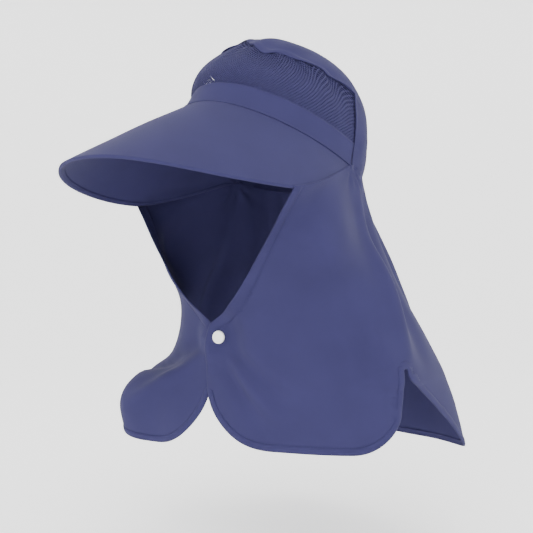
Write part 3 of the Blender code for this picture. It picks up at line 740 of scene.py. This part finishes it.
class FlapCloth:
    """The flap's cloth: its flat layout as triangles, its place in the air and its hem."""

    def __init__(self):
        self.flap = Flap()
        lines = np.linspace(0, 12, 97)
        levels = np.linspace(0, 2, 61)
        self.sheet = Sheet(self.flap.smooth, lines, levels)
        self.hem_line, self.hem_level = self.edge(*hem_path())
        top = np.linspace(12, 0, 241)
        self.top_line, self.top_level = self.edge(top, top * 0)
        self.hem_points = self.sheet.at(self.hem_line, self.hem_level)
        self.rings = [self.ring(offset) for offset in HEM_RINGS]

    def edge(self, line, level):
        return resampled(line, level, self.sheet.at(line, level), EDGE_STEP)

    def ring(self, offset):
        """Places at a distance in from the hemmed edge, and which of them no other edge is nearer to."""
        line, level = self.hem_line, self.hem_level
        along = np.gradient(self.hem_points, axis=0)
        across, down = self.sheet.slopes(line, level)
        inward = unit(np.cross(self.sheet.normals(line, level), along))
        aa, ab, bb = (across * across).sum(1), (across * down).sum(1), (down * down).sum(1)
        pa, pb = (inward * across).sum(1), (inward * down).sum(1)
        det = aa * bb - ab * ab
        line = line + offset * (pa * bb - pb * ab) / det
        level = level + offset * (pb * aa - pa * ab) / det
        points = self.sheet.at(line, level)
        keep = nearest(points, self.hem_points) > offset * 0.93
        keep &= (level > 0.008) & (line > 0) & (line < 12) & (level < 2)
        return line, level, keep

    def layout(self):
        """Triangles over the flat layout: the edge, the hem's rings and an even spread between."""
        outline = np.concatenate(
            [
                plane_from(self.hem_line, self.hem_level),
                plane_from(self.top_line[1:-1], self.top_level[1:-1]),
            ]
        )
        count = len(outline)
        rings = [plane_from(line[keep], level[keep]) for line, level, keep in self.rings]
        offsets = [np.full(len(ring), offset) for ring, offset in zip(rings, HEM_RINGS)]
        width, height = 12 * LINE_SPAN, sum(LEVEL_SPANS)
        rows = np.arange(CLOTH_STEP * 0.8, height, CLOTH_STEP * 0.866)
        spread = []
        for n, y in enumerate(rows):
            row = np.arange(CLOTH_STEP * (0.5 + 0.5 * (n % 2)), width, CLOTH_STEP)
            spread.append(np.stack([row, np.full(len(row), y)], 1))
        spread = np.concatenate(spread)
        spread = spread[inside(spread, outline)]
        points = self.sheet.at(*plane_to(spread))
        clear = nearest(points, self.hem_points) > HEM_RINGS[-1] + CLOTH_STEP * 0.5
        spread = spread[clear]
        flat = np.concatenate([outline] + rings + [spread])
        depth = np.concatenate([np.zeros(count)] + offsets + [np.full(len(spread), 1.0)])
        depth[len(self.hem_line):count] = 1.0
        edges = [(n, (n + 1) % count) for n in range(count)]
        verts, _, faces, origins, _, _ = delaunay_2d_cdt(
            [Vector(p) for p in flat], edges, [list(range(count))], 1, 1e-6
        )
        depths = np.array([depth[o[0]] if len(o) else 1.0 for o in origins])
        return array(verts), faces, depths

    def placed(self, line, level, depth):
        """Points in the air and their normals, with folds, hem and puckers."""
        points = self.sheet.at(line, level)
        normals = self.sheet.normals(line, level)
        folds = [(array(ends), height, width) for ends, height, width in self.flap.folds]
        near_edge = np.minimum(line, 12 - line)
        fade = np.clip(level / FOLD_TOP_FADE, 0, 1) * np.clip(near_edge / FOLD_EDGE_FADE, 0, 1)
        lift = fold_lifts(points, folds) * fade * FOLD_SCALE
        lift += noise_at(points, *FLAP_NOISE) * np.clip(level / NOISE_TOP_FADE, 0, 1)
        placed = points + normals * lift[:, None]
        placed = self.pressed(placed, line)
        _, down = self.sheet.slopes(line, level)
        top = 1 - smoothstep(0.0, TOP_LAP_FADE, level)
        placed += (normals * TOP_LAP_LIFT - unit(down) * TOP_LAP) * top[:, None]
        placed += normals * (hem_height(depth) + ear_puckers(placed))[:, None]
        return placed, normals

    def pressed(self, points, line):
        face = np.array(self.flap.snap_face)
        away = points - np.array(self.flap.snap)
        height = away @ face
        reach = np.linalg.norm(away - height[:, None] * face, axis=1) / SNAP_RADIUS
        hold = smoothstep(0, 1, (PRESS_REACH - reach) / (PRESS_REACH - PRESS_FLAT))
        hold = hold * (np.minimum(line, 12 - line) <= PRESS_LINES)
        depth = np.where(line < 6, 0, -LAP_STEP)
        return points + face * ((depth - height) * hold)[:, None]


def fold_lifts(points, folds):
    total = np.zeros(len(points))
    for ends, height, width in folds:
        along = ends[1] - ends[0]
        k = np.clip((points - ends[0]) @ along / (along @ along), 0, 1)
        gap = np.linalg.norm(points - ends[0] - k[:, None] * along, axis=1)
        fade = np.sin(np.pi * lerp(FOLD_END_SHARE, 1 - FOLD_END_SHARE, k))
        total += height * fade * np.exp(-((gap / width) ** 2))
    return total


def ear_puckers(points):
    """Small pleats that run out from the two ear knots."""
    total = np.zeros(len(points))
    for side in (1, -1):
        knot = np.array(seat_ring(EAR_ANGLE * side))
        away = points - knot
        gap = np.linalg.norm(away, axis=1)
        angle = np.arctan2(away[:, 2], away[:, 1])
        near = np.exp(-((gap / PUCKER_REACH) ** 2)) * smoothstep(0.0, PUCKER_START, gap)
        total += PUCKER_HEIGHT * np.cos(PUCKER_WAVES * angle) * near
    return total


def hem_height(depth):
    """How far the cloth stands out at a distance in from its hemmed edge."""
    puff = smoothstep(0, HEM_PUFF_RISE, depth)
    puff = puff * (1 - smoothstep(HEM_WIDTH - HEM_PUFF_FALL, HEM_WIDTH, depth))
    groove = np.exp(-(((depth - HEM_WIDTH) / HEM_GROOVE_WIDTH) ** 2))
    return HEM_PUFF * puff - HEM_GROOVE * groove


def new_piece(name, verts, faces, finish, replaces=()):
    data = bpy.data.meshes.new(name)
    data.from_pydata([tuple(v) for v in verts], [], [tuple(f) for f in faces])
    data.update()
    piece = bpy.data.objects.new(name, data)
    bpy.context.scene.collection.objects.link(piece)
    data.materials.append(finish)
    data.shade_smooth()
    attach(piece, "root")
    if replaces:
        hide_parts(*replaces)
    return piece


def lay_weave(piece, spots):
    """Lays the cloth's flat position, in metres, on the piece for its weave to follow."""
    layer = piece.data.uv_layers.new(name="weave")
    index = np.empty(len(piece.data.loops), dtype=np.int32)
    piece.data.loops.foreach_get("vertex_index", index)
    layer.data.foreach_set("uv", np.asarray(spots)[index].ravel())


def thicken(piece, wall, shares=None):
    """Gives a sheet its wall, thinned by shares."""
    shell = piece.modifiers.new("wall", "SOLIDIFY")
    shell.thickness = wall
    shell.offset = 0.0
    if shares is not None:
        group = piece.vertex_groups.new(name="wall")
        for n, share in enumerate(shares):
            group.add([n], float(share), "REPLACE")
        shell.vertex_group = "wall"
        shell.thickness_vertex_group = 0.0


def grid_faces(columns, rows):
    """Quads of a grid of columns by rows of points."""
    faces = []
    for i in range(columns - 1):
        for j in range(rows - 1):
            a, b = i * rows + j, (i + 1) * rows + j
            faces.append((a, a + 1, b + 1, b))
    return faces


def grid_normals(points):
    along = np.gradient(points, axis=0)
    down = np.gradient(points, axis=1)
    return unit(np.cross(down, along))


def spread_of(points):
    """The flat position of each point of a grid, from its mean lengths across and down."""
    across = np.linalg.norm(np.diff(points, axis=0), axis=2).mean(1)
    down = np.linalg.norm(np.diff(points, axis=1), axis=2).mean(0)
    u = np.concatenate([[0], np.cumsum(across)])
    v = np.concatenate([[0], np.cumsum(down)])
    return np.stack(np.meshgrid(u, v, indexing="ij"), 2).reshape(-1, 2)


def make_stitches(name, runs, finish):
    """Stitches along runs of points and normals: each a short thread that dips in at both ends."""
    verts, faces = [], []
    shape = ((0.0, -0.6, 0.7), (0.22, 0.55, 1.0), (0.78, 0.55, 1.0), (1.0, -0.6, 0.7))
    sides = 5
    for points, normals in runs:
        if len(points) < 2:
            continue
        steps = np.linalg.norm(np.diff(points, axis=0), axis=1)
        along = np.concatenate([[0], np.cumsum(steps)])
        for start in np.arange(STITCH_PITCH * 0.5, along[-1] - STITCH_LENGTH, STITCH_PITCH):
            marks = [start + STITCH_LENGTH * share for share, _, _ in shape]
            spots = np.stack([np.interp(marks, along, points[:, n]) for n in range(3)], 1)
            ups = unit(np.stack([np.interp(marks, along, normals[:, n]) for n in range(3)], 1))
            ahead = unit(spots[-1] - spots[0])
            base = len(verts)
            for (_, rise, width), spot, up in zip(shape, spots, ups):
                aside = unit(np.cross(ahead, up))
                centre = spot + up * rise * THREAD_RADIUS
                for n in range(sides):
                    a = 2 * math.pi * n / sides
                    swing = aside * math.cos(a) + up * math.sin(a)
                    verts.append(centre + swing * THREAD_RADIUS * width)
            for ring in range(len(shape) - 1):
                for n in range(sides):
                    a = base + ring * sides + n
                    b = base + ring * sides + (n + 1) % sides
                    faces.append((a, b, b + sides, a + sides))
            faces.append(tuple(base + n for n in reversed(range(sides))))
            faces.append(tuple(base + (len(shape) - 1) * sides + n for n in range(sides)))
    return new_piece(name, verts, faces, finish)


def split_runs(points, normals):
    """Cuts a row of points wherever two neighbours lie far apart."""
    gaps = np.where(np.linalg.norm(np.diff(points, axis=0), axis=1) > RUN_BREAK)[0] + 1
    return list(zip(np.split(points, gaps), np.split(normals, gaps)))


def make_flap(cloth, thread):
    sheet = FlapCloth()
    flat, faces, depth = sheet.layout()
    line, level = plane_to(flat)
    points, normals = sheet.placed(line, level, depth)
    first = [points[n] for n in faces[len(faces) // 2][:3]]
    facing = np.cross(first[1] - first[0], first[2] - first[0]) @ normals[faces[len(faces) // 2][0]]
    if facing < 0:
        faces = [tuple(reversed(face)) for face in faces]
    piece = new_piece("neck_flap_cloth", points, faces, cloth, ["neck_flap"])
    lay_weave(piece, flat)
    hem = 1 - smoothstep(HEM_WIDTH - 0.0006, HEM_WIDTH + 0.0004, depth)
    tip = lerp(0.55, 1.0, smoothstep(0, 0.0012, depth))
    thicken(piece, HEM, lerp(CLOTH / HEM, 1.0, hem) * tip)
    ring = HEM_RINGS.index(HEM_WIDTH)
    line, level, keep = sheet.rings[ring]
    line, level = line[keep], level[keep]
    points, normals = sheet.placed(line, level, np.full(len(line), HEM_WIDTH))
    outer = points + normals * HEM * 0.40
    inner = points - normals * HEM * 0.45
    runs = split_runs(outer, normals) + split_runs(inner, -normals)
    stitches = make_stitches("flap_hem_stitches", runs, thread)
    return piece


def make_crown(cloth):
    turns = np.linspace(EAR_TURN, 180 - EAR_TURN, 241)
    start, end = CROWN_LAP_SHARES
    shares = np.concatenate([np.linspace(start, end, 8)[:-1], np.linspace(end, 1, 96)])
    points = np.array([[tuple(crown_point(turn, k)) for k in shares] for turn in turns])
    normals = grid_normals(points)
    lap = CROWN_LAP * (1 - smoothstep(0.0, end, shares))
    flat = points.reshape(-1, 3)
    lift = np.tile(lap, len(turns)) + noise_at(flat, *CROWN_NOISE)
    points = flat + normals.reshape(-1, 3) * lift[:, None]
    faces = grid_faces(len(turns), len(shares))
    piece = new_piece("crown_cloth", points, faces, cloth, ["crown"])
    lay_weave(piece, spread_of(flat.reshape(len(turns), len(shares), 3)))
    thicken(piece, CLOTH)
    return piece


def make_band(cloth):
    angles = np.linspace(EAR_ANGLE, -EAR_ANGLE, 177)
    shares = np.concatenate([[0.0, 0.008, 0.02], np.linspace(0.05, 1.03, 13)])
    low = np.array([tuple(seat_ring(a)) for a in angles])
    high = np.array([tuple(band_top(a)) for a in angles])
    points = low[:, None] + (high - low)[:, None] * shares[None, :, None]
    normals = -grid_normals(points)
    tuck = -BAND_TUCK * smoothstep(0.05, 0.0, shares)
    bulge = BAND_BULGE * np.sin(np.pi * np.clip(shares, 0, 1)) + BAND_ROLL * smoothstep(0.6, 1.0, shares)
    lift = (tuck + bulge)[None, :, None]
    points = points + normals * lift
    faces = [tuple(reversed(face)) for face in grid_faces(len(angles), len(shares))]
    verts = points.reshape(-1, 3)
    piece = new_piece("front_band_cloth", verts, faces, cloth, ["front_band"])
    lay_weave(piece, spread_of(points))
    thicken(piece, CLOTH * BAND_LAYERS)
    return piece


def make_brim(cloth):
    """The brim as one closed body: top, rolled edge, and underside with its hem strip."""
    angles = np.linspace(EAR_ANGLE * BRIM_ENDS, -EAR_ANGLE * BRIM_ENDS, 221)
    ks = np.linspace(0, 1, 61)
    grid = np.array([[tuple(brim_point(a, k)) for k in ks] for a in angles])
    up = -grid_normals(grid)
    length = np.linalg.norm(grid[:, -1] - grid[:, 0], axis=1)
    strip = np.minimum(BRIM_STRIP / length, BRIM_STRIP_MOST)
    inner = 1 - strip * BRIM_PLAIN_STOP
    rows = [(k * inner, BRIM_HALF) for k in BRIM_TOP]
    rows[0] = (np.zeros_like(inner), -BRIM_HALF)
    rows += [(1 - strip * m, BRIM_HALF) for m in BRIM_STRIP_ROWS]
    under = [(1 - strip * m, -BRIM_HALF * h) for m, h in BRIM_UNDER]
    under += [(k * inner, -BRIM_HALF) for k in reversed(BRIM_TOP[1:])]
    edge = [math.radians(a) for a in BRIM_EDGE_ANGLES]
    away = unit(grid[:, -1] - grid[:, -2])

    def row_at(share, height):
        place = np.clip(share, 0, 1) * (len(ks) - 1)
        i = np.minimum(place.astype(int), len(ks) - 2)
        t = (place - i)[:, None]
        column = np.arange(len(angles))
        point = grid[column, i] * (1 - t) + grid[column, i + 1] * t
        normal = unit(up[column, i] * (1 - t) + up[column, i + 1] * t)
        return point + normal * height

    stack = [row_at(share, height) for share, height in rows]
    for a in edge:
        out = away * math.cos(a) + up[:, -1] * math.sin(a)
        stack.append(grid[:, -1] - away * BRIM_HALF + out * BRIM_HALF * (1.0 if a > 0 else BRIM_EDGE_ROLL))
    stack += [row_at(share, height) for share, height in under]
    points = np.stack(stack, 1)
    flat = points.reshape(-1, 3)
    ups = np.repeat(up[:, 30][:, None], points.shape[1], 1).reshape(-1, 3)
    folds = []
    for side in (1, -1):
        for angle_a, k_a, angle_b, k_b, height, width in BRIM_FOLDS:
            ends = (brim_point(angle_a * side, k_a), brim_point(angle_b * side, k_b))
            folds.append((array(ends), height, width))
    lift = fold_lifts(flat, folds) + noise_at(flat, *BRIM_NOISE)
    flat = flat + ups * lift[:, None]
    count = points.shape[1]
    faces = []
    for i in range(len(angles) - 1):
        for j in range(count):
            a, b = i * count + j, i * count + (j + 1) % count
            faces.append((a, a + count, b + count, b))
    faces.append(tuple(range(count)))
    faces.append(tuple((len(angles) - 1) * count + n for n in reversed(range(count))))
    piece = new_piece("brim_cloth", flat, faces, cloth, ["brim"])
    lay_weave(piece, spread_of(points))
    return piece


def net_share(row, rows):
    """How far up the net a row of cells stands: the rows grow taller towards the gathered edge."""
    k = row / rows
    return lerp(-0.03, 1.03, k * (0.86 + 0.14 * k**3))


def make_net(net):
    """The net: staggered cells, each a ring of threads round its hole."""
    columns = round(2 * math.radians(EAR_ANGLE) * NET_RADIUS / NET_PITCH)
    cell = ((0, 2), (1, 1), (1, -1), (0, -2), (-1, -1), (-1, 1))
    places = {}
    verts, faces, spots = [], [], []

    def corner(x, y):
        if (x, y) not in places:
            places[(x, y)] = len(verts)
            verts.append((x, y))
        return places[(x, y)]

    for row in range(NET_ROWS):
        for column in range(columns):
            x = 2 * column + row % 2 + 1
            y = 3 * row + 2
            ring = [corner(x + a, y + b) for a, b in cell]
            near_top = (row - NET_ROWS * NET_TOP_START) / (NET_ROWS * (1 - NET_TOP_START))
            hole = lerp(NET_HOLE, NET_HOLE_TOP, max(0, near_top))
            first = len(verts)
            for a in ring:
                verts.append((lerp(x, verts[a][0], hole), lerp(y, verts[a][1], hole)))
            for n in range(6):
                faces.append((ring[n], ring[(n + 1) % 6], first + (n + 1) % 6, first + n))
    last_x, last_y = 2 * columns + 1, 3 * NET_ROWS + 3
    points = []
    for x, y in verts:
        angle = lerp(EAR_ANGLE, -EAR_ANGLE, x / last_x)
        share = net_share(y, last_y)
        points.append(tuple(net_point(angle, share)))
        spots.append((angle, share))
    points = np.array(points)
    angles, shares = np.array(spots).T
    out = unit(points - np.array([0, 0, NET_MIDDLE_Z]))
    a = np.radians(angles)
    ripple = NET_RIPPLE * np.cos(a * NET_RIPPLES + 1.5 * np.sin(a * 5))
    lift = ripple * smoothstep(NET_RIPPLE_START, 1.0, shares) - NET_SINK
    points = points + out * lift[:, None]
    piece = new_piece("mesh_panel_net", points, faces, net, ["mesh_panel"])
    thicken(piece, NET_THICKNESS)
    return piece


def turned(profile, sides, first=0):
    """Points and quads of a profile of radius and height turned round Z, counted from first."""
    turns = [2 * math.pi * n / sides for n in range(sides)]
    verts = [Vector((r * math.cos(a), r * math.sin(a), z)) for r, z in profile for a in turns]
    faces = []
    for j in range(len(profile) - 1):
        for n in range(sides):
            a, b = first + j * sides + n, first + j * sides + (n + 1) % sides
            faces.append((a, a + sides, b + sides, b))
    return verts, faces


def make_snap(flap, white):
    """The snap's cap, finely turned: a rolled rim round a shallow dish, and its post."""
    under = WALL / 2 + SNAP_GAP
    back = -(LAP_STEP + WALL / 2 + SNAP_GAP)
    profile = [(0.00002, under + SNAP_HEIGHT * SNAP_RIM[0][1])]
    profile += [(SNAP_RADIUS * r, under + SNAP_HEIGHT * z) for r, z in SNAP_RIM]
    profile += [
        (POST_RADIUS, under),
        (POST_RADIUS, back - SOCKET_HEIGHT),
        (POST_RADIUS * 0.02, back - SOCKET_HEIGHT),
    ]
    sides = 64
    turn = flap.snap_face.to_track_quat("Z", "Y").to_matrix()
    verts, faces = turned(profile, sides)
    verts = [flap.snap + turn @ point for point in verts]
    faces.append(tuple(range(sides)))
    faces.append(tuple((len(profile) - 1) * sides + n for n in reversed(range(sides))))
    return new_piece("snap_cap_turned", verts, faces, white, ["snap_cap"])


def put(tree, kind, **values):
    node = tree.nodes.new("ShaderNode" + kind)
    for name, value in values.items():
        setattr(node, name, value)
    return node


def shader_of(name, colour, roughness):
    result = bpy.data.materials.new(name)
    result.use_nodes = True
    shader = result.node_tree.nodes["Principled BSDF"]
    shader.inputs["Base Color"].default_value = (*colour, 1)
    shader.inputs["Roughness"].default_value = roughness
    return result, result.node_tree, shader


def shaded_colour(tree, shader, colour, low, high, scale, coordinates):
    """Lets the colour drift between two brightnesses with soft noise."""
    wander = put(tree, "TexNoise")
    wander.inputs["Scale"].default_value = scale
    wander.inputs["Detail"].default_value = 4
    tree.links.new(coordinates, wander.inputs["Vector"])
    ramp = put(tree, "ValToRGB")
    ramp.color_ramp.elements[0].position = 0.3
    ramp.color_ramp.elements[1].position = 0.7
    ramp.color_ramp.elements[0].color = (*[c * low for c in colour], 1)
    ramp.color_ramp.elements[1].color = (*[c * high for c in colour], 1)
    tree.links.new(wander.outputs["Fac"], ramp.inputs["Fac"])
    tree.links.new(ramp.outputs["Color"], shader.inputs["Base Color"])


def cloth_material(name, colour):
    """Fine plain weave with a soft sheen."""
    result, tree, shader = shader_of(name, colour, 0.80)
    shader.inputs["Sheen Weight"].default_value = 0.02
    shader.inputs["Sheen Roughness"].default_value = 0.5
    shader.inputs["Specular IOR Level"].default_value = 0.10
    spot = put(tree, "TexCoord")
    shaded_colour(tree, shader, colour, 0.95, 1.05, 26, spot.outputs["Object"])
    weave = put(tree, "UVMap", uv_map="weave")
    threads = []
    for direction in ("X", "Y"):
        wave = put(tree, "TexWave", wave_type="BANDS", bands_direction=direction)
        wave.inputs["Scale"].default_value = WAVE_UNIT / WEAVE_PITCH
        tree.links.new(weave.outputs["UV"], wave.inputs["Vector"])
        threads.append(wave.outputs["Fac"])
    product = put(tree, "Math", operation="MULTIPLY")
    tree.links.new(threads[0], product.inputs[0])
    tree.links.new(threads[1], product.inputs[1])
    bump = put(tree, "Bump")
    bump.inputs["Strength"].default_value = 0.25
    bump.inputs["Distance"].default_value = 0.0001
    tree.links.new(product.outputs[0], bump.inputs["Height"])
    tree.links.new(bump.outputs["Normal"], shader.inputs["Normal"])
    return result


def plain_material(name, colour, roughness, specular, drift, scale):
    """One colour that drifts by a share of itself, over noise of the given scale."""
    result, tree, shader = shader_of(name, colour, roughness)
    shader.inputs["Specular IOR Level"].default_value = specular
    spot = put(tree, "TexCoord")
    shaded_colour(tree, shader, colour, *drift, scale, spot.outputs["Object"])
    return result


def make_backdrop(floor_z):
    """A pale floor that curves up into a backdrop all round."""
    profile = [(0.02, 0.0), (1.0, 0.0), (2.0, 0.0)]
    for a in np.radians(np.arange(7.5, 91, 7.5)):
        profile.append((2.0 + 1.5 * math.sin(a), 1.5 - 1.5 * math.cos(a)))
    profile += [(3.5, 4.0)]
    sides = 96
    rings, faces = turned([(r, floor_z + z) for r, z in profile], sides, 1)
    verts = [(0, 0, floor_z)] + rings
    faces = [(0, 1 + n, 1 + (n + 1) % sides) for n in range(sides)] + faces
    data = bpy.data.meshes.new("backdrop")
    data.from_pydata(verts, [], faces)
    data.shade_smooth()
    floor = bpy.data.objects.new("backdrop", data)
    bpy.context.scene.collection.objects.link(floor)
    paint, tree, shader = shader_of("backdrop", (0.92, 0.92, 0.92), 0.9)
    shader.inputs["Specular IOR Level"].default_value = 0.1
    shader.inputs["Emission Color"].default_value = (1, 1, 1, 1)
    shader.inputs["Emission Strength"].default_value = BACKDROP_GLOW
    data.materials.append(paint)


def add_light(name, place, size, power):
    lamp = bpy.data.lights.new(name, "AREA")
    lamp.shape = "DISK"
    lamp.size = size
    lamp.energy = power
    light = bpy.data.objects.new(name, lamp)
    bpy.context.scene.collection.objects.link(light)
    light.location = place
    light.rotation_euler = (Vector((0, 0, -0.05)) - Vector(place)).to_track_quat("-Z", "Y").to_euler()


def add_camera():
    lens = bpy.data.cameras.new("camera")
    lens.sensor_width = SENSOR
    lens.lens = CAMERA_LENS
    camera = bpy.data.objects.new("camera", lens)
    bpy.context.scene.collection.objects.link(camera)
    camera.location = CAMERA_PLACE
    turn = (math.radians(90 + CAMERA_PITCH), 0, math.radians(CAMERA_AZIMUTH))
    camera.rotation_euler = turn
    bpy.context.scene.camera = camera


def add_world(strength):
    world = bpy.data.worlds.new("world")
    bpy.context.scene.world = world
    world.use_nodes = True
    world.node_tree.nodes["Background"].inputs["Color"].default_value = (1, 1, 1, 1)
    world.node_tree.nodes["Background"].inputs["Strength"].default_value = strength


def main():
    cloth = cloth_material("cloth", CLOTH_COLOUR)
    thread = plain_material("thread", THREAD_COLOUR, 0.75, 0.12, (0.90, 1.10), 400)
    net = plain_material("net", NET_COLOUR, 0.75, 0.12, (0.90, 1.10), 400)
    white = plain_material("snap_white", SNAP_COLOUR, 0.35, 0.5, (0.98, 1.0), 150)
    make_flap(cloth, thread)
    make_crown(cloth)
    make_band(cloth)
    make_brim(cloth)
    make_net(net)
    make_snap(Flap(), white)
    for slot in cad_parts["snap_socket"].material_slots:
        slot.material = white
    make_backdrop(cad_box[0][2] - FLOOR_DROP)
    for light in LIGHTS:
        add_light(*light)
    add_world(WORLD_STRENGTH)
    add_camera()


main()
